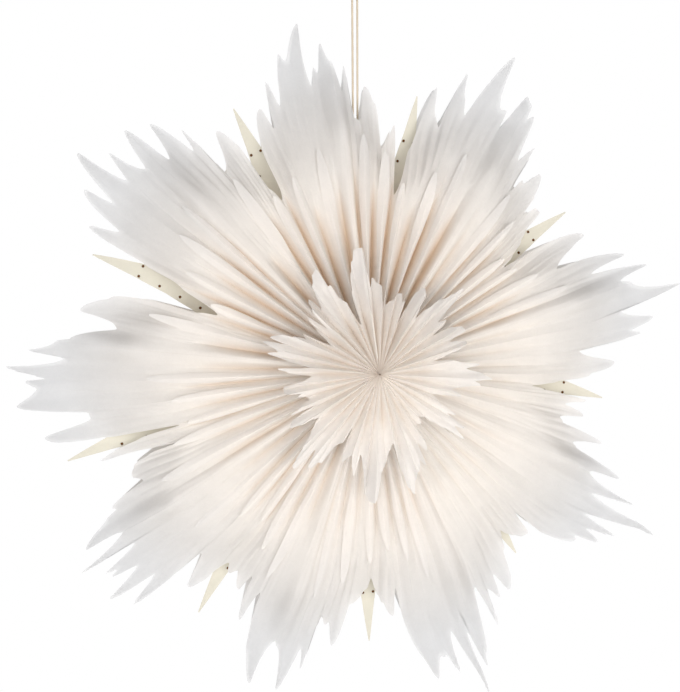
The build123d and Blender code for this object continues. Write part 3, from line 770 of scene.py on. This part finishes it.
class STAR_OT_small_leaves(bpy.types.Operator):
    """Jagged leaves of the small star that stands in front of each side"""

    bl_idname = "star.small_leaves"
    bl_label = "Small leaves"

    rows = 26
    column_gap = 0.8
    ridge_wander, ridge_lift = 2.0, 1.6  # unevenness of the ridges, in degrees and millimetres
    curl, curl_turn, curl_run = 5.0, 0.2, 0.02  # waves in the leaf, and how often they change
    curl_reach = (30, 90)  # radii between which they set in
    edge_width = 2.0

    def execute(self, context):
        scene = context.scene
        white = white_material("white_leaf_paper", scene.star_colours)
        for cell in range(CELLS):
            for side in (FRONT, BACK):
                self.leaf(cell, side, scene.star_sizes, white)
        return {"FINISHED"}

    def leaf(self, cell, side, sizes, white):
        folds = Folds(LEAF_RIDGES, 300 + cell * 2 + (side > 0), self.ridge_wander, self.ridge_lift)
        crown = flame(LEAF_TEETH[cell])
        angles = columns([a for a, _ in crown], folds.angles(), gap=self.column_gap)
        middle = cell_middle(cell)

        def height(angle, radius):
            low, depth, lift = folds.at(angle, radius, sizes.leaf_width)
            depth *= 0.45 + 0.55 * PLEAT_DEPTH[cell]
            reach = radius * math.cos(math.radians(angle))
            spot = Vector(((middle + angle) * self.curl_turn, radius * self.curl_run, side * 5.0 + 20))
            uneven = lift + noise.noise(spot) * self.curl
            edge = ease(HALF_CELL - abs(angle), 0.0, self.edge_width)
            rise = sizes.leaf_rise - sizes.leaf_slope * reach - low * depth
            return rise + uneven * edge * ease(radius, *self.curl_reach), low * depth / sizes.leaf_width

        # Painted shade: warmer towards the centre and in the deep folds near it, standing in for bounced
        # light and shade
        def tone(radius, deep):
            return 0.6 - 0.3 * ease(radius, 30, 110) + 0.2 * clamp(1.3 * deep) * (1 - ease(radius, 20, 80))

        mesh, _ = pleated(cell, side, folds, crown, angles, self.rows, sizes.leaf_inner, height, tone)
        name, n = SIDE_NAMES[side], cell + 1
        paper_piece(f"{name}_small_leaf_{n}", mesh, [white], cell, f"{name}_leaf_{n}")


class STAR_OT_cream_spikes(bpy.types.Operator):
    """Cream linings, each folded along its middle, with a spike at the rim and two rows of punched holes"""

    bl_idname = "star.cream_spikes"
    bl_label = "Cream spikes"

    # Radius and distance from the ridge of each pair of holes
    holes = [(146.0, 11.5), (166.0, 9.0), (186.0, 6.5), (206.0, 4.6)]
    marks = [80, 110, 116, 120, 122, 125, 130, 136, 142, 226, 234, 242, 250]  # radii of the mesh's rows
    marks_between = (7, 13)  # the same past each hole's middle
    hole_depth, hole_rim = 0.9, 0.1
    hole_share = 0.96  # the punch leaves a hole slightly smaller than itself

    def execute(self, context):
        scene = context.scene
        colours = scene.star_colours
        # Painted shade: darker tones of the cream, standing in for the shade under the white sheets
        mid_painted_shade, deep = [c * 0.92 for c in colours.cream], [c * 0.8 for c in colours.cream]
        cream = paper_material("cream_paper", colours.cream, mid_painted_shade, deep, CREAM_THROUGH)
        hole_shade_paint = painted_hole_shade_material(colours.hole_shade)
        for cell in range(CELLS):
            self.spike(cell, scene.star_sizes, [cream, hole_shade_paint])
        return {"FINISHED"}

    def spike(self, cell, sizes, materials):
        middle = cell_middle(cell)
        lean, tip = SPIKE_TIPS[cell]
        half_hole = sizes.hole_size / 2
        steps = (-half_hole, half_hole, *self.marks_between)
        beside_holes = [reach + step for reach, _ in self.holes for step in steps]
        marks = sorted({sizes.lining_inner, *self.marks, *beside_holes})
        guides = [0.0, 0.5, 1.0, 2.0, 2.5, 3.0]
        across = [-g for g in reversed(guides[1:])] + guides
        mesh = bmesh.new()
        shade = mesh.verts.layers.float.new(PAINTED_SHADE)

        def sideways(guide, radius):
            """Millimetres from the ridge: guides 1 and 2 run along the holes' sides, 3 along the edge."""
            edge = radius * math.radians(between(LINING_HALF, radius))
            near = min(between(self.holes, radius), 0.72 * edge)
            inner, outer = max(near - half_hole, 0.3 * edge), min(near + half_hole, 0.97 * edge)
            return between([(0, 0), (1, inner), (2, outer), (3, edge)], guide)

        def place(guide, radius, share):
            listed = marks[round(share * (len(marks) - 1))]
            out = max(0, (listed - SPIKE_ROOT) / (LISTED_SPIKE - SPIKE_ROOT))
            radius = listed + (tip - LISTED_SPIKE) * out
            away = math.copysign(math.degrees(sideways(abs(guide), listed) / listed), guide) + lean * out
            flat = clamp((radius - sizes.lining_inner) / (sizes.lining_flat - sizes.lining_inner))
            ridge, edge = sizes.lining_ridge * (1 - flat), sizes.lining_edge * (1 - flat)
            rise = ridge - (ridge - edge) * abs(away) / HALF_CELL
            return star_point(middle + edge_angle(away, HALF_CELL - CARD_GAP / radius), radius, rise, FRONT)

        grid = fan(mesh, across, len(marks) - 1, 0, lambda a: 1, place)
        # Painted shade, most at the spike's root and gone by a radius of 200 mm
        for (_, row), vert in grid.items():
            vert[shade] = clamp(1 - ease(marks[row], 60, 200))
        for reach, _ in self.holes:
            row = marks.index(reach - half_hole)
            for first in (across.index(-2.0), across.index(1.0)):
                corners = {grid[first, row], grid[first + 1, row + 1]}
                face = next(f for f in grid[first, row].link_faces if corners <= set(f.verts))
                face.material_index = 1
        self.punch(mesh, half_hole * self.hole_share * MM)
        n = cell + 1
        paper_piece(f"cream_spike_{n}", mesh, materials, cell, f"cream_lining_{n}")

    def punch(self, mesh, radius):
        """Rounds the marked faces of the grid and pushes them in, as a punch leaves them; the pockets carry
        painted shade.
        """
        marked = [face for face in mesh.faces if face.material_index == 1]
        ring = bmesh.ops.inset_individual(mesh, faces=marked, thickness=self.hole_rim * MM)["faces"]
        for face in ring:
            face.material_index = 0
        bmesh.ops.subdivide_edges(mesh, edges=list({edge for face in marked for edge in face.edges}), cuts=2)
        marked = [face for face in mesh.faces if face.material_index == 1]
        for face in marked:
            centre = face.calc_center_median()
            for vert in face.verts:
                vert.co = centre + (vert.co - centre).normalized() * radius
        # The pushed-in bottoms and their walls take the painted shade of the holes
        for bottom in bmesh.ops.extrude_discrete_faces(mesh, faces=marked)["faces"]:
            for vert in bottom.verts:
                vert.co.y += self.hole_depth * MM
            for edge in bottom.edges:
                for wall in edge.link_faces:
                    wall.material_index = 1


def new_curve(name, radius=0.0, facets=0):
    """An empty curve that makes tubes with a radius in millimetres."""
    curve = bpy.data.curves.new(name, "CURVE")
    curve.dimensions = "3D"
    curve.bevel_depth = radius * MM
    curve.bevel_resolution = facets
    return curve


def add_line(curve, kind, places):
    """Adds a line with a list of points to a curve."""
    line = curve.splines.new(kind)
    line.points.add(len(places) - 1)
    for point, place in zip(line.points, places):
        point.co = (*place, 1.0)
    line.order_u = 3
    return line


def curve_mesh(curve):
    """The mesh that a curve makes."""
    holder = new_object(curve.name, curve)
    bpy.context.view_layer.update()
    data = bpy.data.meshes.new_from_object(holder.evaluated_get(bpy.context.evaluated_depsgraph_get()))
    bpy.data.objects.remove(holder)
    return data


def tube_piece(name, curve, material):
    """A mesh object from a curve of tubes."""
    data = curve_mesh(curve)
    data.name = name
    data.materials.clear()
    data.materials.append(material)
    for face in data.polygons:
        face.use_smooth = True
    return new_object(name, data)


class STAR_OT_inner_frame(bpy.types.Operator):
    """Finishes of the pages, covers, core tube and magnets, and the twisted binding threads"""

    bl_idname = "star.inner_frame"
    bl_label = "Inner frame"

    thread_ring = 17.0
    thread_ply = 0.27
    thread_height = 45.0
    thread_turns = 60
    points_per_turn = 8
    thread_offset = 0.8  # of a ply's radius, from the thread's middle to the ply's

    def execute(self, context):
        colours = context.scene.star_colours
        card = card_material(colours.card)
        nickel = nickel_material()
        finishes = {f"page_{n}": card for n in range(1, CELLS)}
        finishes.update({"first_cover": card, "last_cover": card, "core_tube": tube_material(colours.tube)})
        finishes.update({"first_magnets": nickel, "last_magnets": nickel})
        for name, material in finishes.items():
            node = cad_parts[name]
            node.data.materials.clear()
            node.data.materials.append(material)
        self.threads(cotton_material("waxed_linen_thread", linear("#DCD2C0"), 0.0003))
        return {"FINISHED"}

    def threads(self, material):
        curve = new_curve("binding_plies", self.thread_ply, 1)
        count = self.thread_turns * self.points_per_turn
        offset = self.thread_ply * self.thread_offset
        for side in (FRONT, BACK):
            for ply in range(2):
                places = []
                for n in range(count):
                    twist = 2 * math.pi * (n / self.points_per_turn + ply / 2)
                    ring = self.thread_ring + offset * math.cos(twist)
                    height = self.thread_height + offset * math.sin(twist)
                    places.append(star_point(360 * n / count, ring, height, side))
                line = add_line(curve, "NURBS", places)
                line.use_cyclic_u = True
                line.resolution_u = 1
        piece = tube_piece("thread_rings", curve, material)
        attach(piece, "star")
        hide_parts("binding_threads")


class STAR_OT_hanging_cord(bpy.types.Operator):
    """Twisted cotton cord that runs up, over the hook and down again, and the stopper knot on its two ends"""

    bl_idname = "star.hanging_cord"
    bl_label = "Hanging cord"

    diameter = 1.8
    ply_swell = 1.12  # the loose plies stand a little proud of the cord's measured size
    ply_share = 0.27  # radius of a ply as a share of the swollen cord's diameter
    plies = 3
    twist_pitch = 5.0
    step = 0.9
    # The route in the middle plane, as the solid has it, with a point 6 diameters below the hook on each side
    route = [(-1.55, -333.2), (-2.28, -10.8), (-2.3, 0.9), (2.3, 0.9), (2.28, -10.8), (1.55, -333.2)]
    knot_centre = Vector((0.0, 0.0, -333.2))
    knot_size, knot_depth, knot_points = 1.05, 1.2, 36

    def execute(self, context):
        cotton = cotton_material("natural_cotton_cord", context.scene.star_colours.cord, 0.0004)
        path = self.centre_line()
        ply = self.diameter * self.ply_swell * self.ply_share
        offset = self.diameter * self.ply_swell / 2 - ply
        curve = new_curve("cord_plies", ply, 1)
        across = Vector((0, 1, 0))
        for number in range(self.plies):
            places = []
            for n, middle in enumerate(path):
                ahead = (path[min(n + 1, len(path) - 1)] - path[max(n - 1, 0)]).normalized()
                sideways = ahead.cross(across).normalized()
                twist = 2 * math.pi * (n * self.step / self.twist_pitch + number / self.plies)
                away = across * math.cos(twist) + sideways * math.sin(twist)
                places.append((middle + away * offset) * MM)
            add_line(curve, "POLY", places)
        piece = tube_piece("cotton_cord", curve, cotton)
        knot = self.knot(cotton)
        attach(knot, "star")
        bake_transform(piece, "hanger", "star", start=(0, 0, 0), end=path[0] * MM)
        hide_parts("hanging_cord")
        length = sum((b - a).length for a, b in zip(path, path[1:])) * MM
        return {"FINISHED"}

    def centre_line(self):
        """Points along the route's smooth line, evenly spaced, in millimetres."""
        curve = new_curve("cord_route")
        curve.resolution_u = 200
        add_line(curve, "NURBS", [(x, 0.0, z) for x, z in self.route]).use_endpoint_u = True
        data = curve_mesh(curve)
        line = [v.co.copy() for v in data.vertices]
        bpy.data.meshes.remove(data)
        even, carried = [line[0]], 0.0
        for a, b in zip(line, line[1:]):
            length = (b - a).length
            along = self.step - carried
            while along <= length:
                even.append(a.lerp(b, along / length))
                along += self.step
            carried = length - (along - self.step)
        return even

    def knot(self, cotton):
        """The two strands tied in an overhand knot, which is a trefoil when it is pulled tight."""
        curve = new_curve("knot_line", self.diameter / 2, 3)
        places = []
        for n in range(self.knot_points):
            turn = 2 * math.pi * n / self.knot_points
            x = math.sin(turn) + 2 * math.sin(2 * turn)
            y = -math.sin(3 * turn) * self.knot_depth
            z = math.cos(turn) - 2 * math.cos(2 * turn)
            places.append((Vector((x, y, z)) * self.knot_size + self.knot_centre) * MM)
        add_line(curve, "NURBS", places).use_cyclic_u = True
        return tube_piece("stopper_knot", curve, cotton)


class STAR_OT_stage(bpy.types.Operator):
    """Camera at the photograph's angle, soft studio light, a white room and a pale floor"""

    bl_idname = "star.stage"
    bl_label = "Stage"

    picture = (680, 692)
    hub_pixel = (353.2, 362.5)
    floor_level, floor_half = -1.15, 1.6
    floor_white = 0.55  # share of the floor that the camera sees as plain white
    # Place of each lamp from the star's hub in metres, its size and its colour
    lamps = {
        "key": ((0.95, -1.95, -0.45), 2.4, "#FFFEFC"),
        "fill": ((-1.1, -1.9, -0.05), 2.2, "#FFFFFF"),
        "rear": ((0.3, 1.9, 0.3), 1.8, "#FFFFFF"),
    }

    def execute(self, context):
        scene = context.scene
        scene.view_settings.view_transform = "Standard"
        self.camera(scene, scene.star_stage)
        self.lights(scene.star_stage)
        self.room(scene, scene.star_stage)
        self.floor()
        return {"FINISHED"}

    def camera(self, scene, stage):
        turn, rise, roll = (math.radians(v) for v in (stage.azimuth, stage.elevation, stage.roll))
        right = Vector((math.cos(turn), math.sin(turn), 0))
        out = Vector((math.sin(turn) * math.cos(rise), -math.cos(turn) * math.cos(rise), math.sin(rise)))
        up = out.cross(right)
        leaning_right = right * math.cos(roll) + up * math.sin(roll)
        leaning_up = up * math.cos(roll) - right * math.sin(roll)
        data = bpy.data.cameras.new("camera")
        data.lens = data.sensor_width * stage.distance / stage.picture_height
        width, height = self.picture
        data.shift_x = -(self.hub_pixel[0] - width / 2) / height
        data.shift_y = (self.hub_pixel[1] - height / 2) / height
        data.clip_end = 50
        camera = new_object("camera", data)
        turned = Matrix((leaning_right, leaning_up, out)).transposed().to_4x4()
        camera.matrix_world = Matrix.Translation(HUB * MM + out * stage.distance) @ turned
        scene.camera = camera

    def lights(self, stage):
        for name, (place, size, code) in self.lamps.items():
            data = bpy.data.lights.new(name, "AREA")
            data.shape = "DISK"
            data.size = size
            data.energy = getattr(stage, name + "_power")
            data.color = linear(code)
            lamp = new_object(name, data)
            lamp.location = HUB * MM + Vector(place)
            lamp.rotation_euler = Vector(place).to_track_quat("Z", "Y").to_euler()

    def room(self, scene, stage):
        world = bpy.data.worlds.new("white_room")
        scene.world = world
        world.use_nodes = True
        tree = world.node_tree
        tree.nodes.clear()
        path = add_node(tree, "LightPath")
        light = add_node(tree, "Background", values={"Color": (1, 1, 1, 1), "Strength": stage.ambient})
        white = add_node(tree, "Background", values={"Color": (1, 1, 1, 1), "Strength": 1.0})
        mixed = add_node(tree, "MixShader", links={
            0: path.outputs["Is Camera Ray"], 1: light.outputs["Background"], 2: white.outputs["Background"]})
        add_node(tree, "OutputWorld", links={"Surface": mixed.outputs["Shader"]})

    def floor(self):
        mesh = bmesh.new()
        bmesh.ops.create_grid(mesh, x_segments=1, y_segments=1, size=self.floor_half,
                              matrix=Matrix.Translation((0, 0, self.floor_level)))
        data = bpy.data.meshes.new("floor")
        mesh.to_mesh(data)
        mesh.free()
        floor = new_object("floor", data)
        # Plain matte floor, paler to the camera than the light makes it
        material, tree = new_material("pale_floor")
        path = add_node(tree, "LightPath")
        matte = add_node(tree, "BsdfDiffuse", values={"Color": rgba(linear("#F2F1EF"))})
        white = add_node(tree, "Emission", values={"Color": (1, 1, 1, 1), "Strength": 1.0})
        share = add_node(tree, "Math", {"operation": "MULTIPLY"}, {1: self.floor_white},
                         {0: path.outputs["Is Camera Ray"]})
        mixed = add_node(tree, "MixShader", links={
            0: share.outputs["Value"], 1: matte.outputs["BSDF"], 2: white.outputs["Emission"]})
        add_node(tree, "OutputMaterial", links={"Surface": mixed.outputs["Shader"]})
        data.materials.append(material)


GROUPS = {"star_sizes": PaperSizes, "star_colours": PaperColours, "star_stage": StageSizes}
OPERATORS = [STAR_OT_stage, STAR_OT_hanging_cord, STAR_OT_inner_frame, STAR_OT_cream_spikes,
             STAR_OT_white_sheets, STAR_OT_small_leaves]


class STAR_PT_sidebar(bpy.types.Panel):
    """Lists the star's pieces, sizes and colours"""

    bl_label = "Paper star"
    bl_idname = "STAR_PT_sidebar"
    bl_space_type = "VIEW_3D"
    bl_region_type = "UI"
    bl_category = "Paper star"

    def draw(self, context):
        for operator in OPERATORS:
            self.layout.operator(operator.bl_idname)
        for group, kind in GROUPS.items():
            for name in kind.__annotations__:
                self.layout.prop(getattr(context.scene, group), name)


CLASSES = [*GROUPS.values(), *OPERATORS, STAR_PT_sidebar]


def register():
    for item in CLASSES:
        bpy.utils.register_class(item)
    for group, kind in GROUPS.items():
        setattr(bpy.types.Scene, group, bpy.props.PointerProperty(type=kind))


def unregister():
    for group in GROUPS:
        delattr(bpy.types.Scene, group)
    for item in reversed(CLASSES):
        bpy.utils.unregister_class(item)


def main():
    register()
    for operator in OPERATORS:
        group, name = operator.bl_idname.split(".")
        getattr(getattr(bpy.ops, group), name)()


if __name__ == "__main__":
    main()
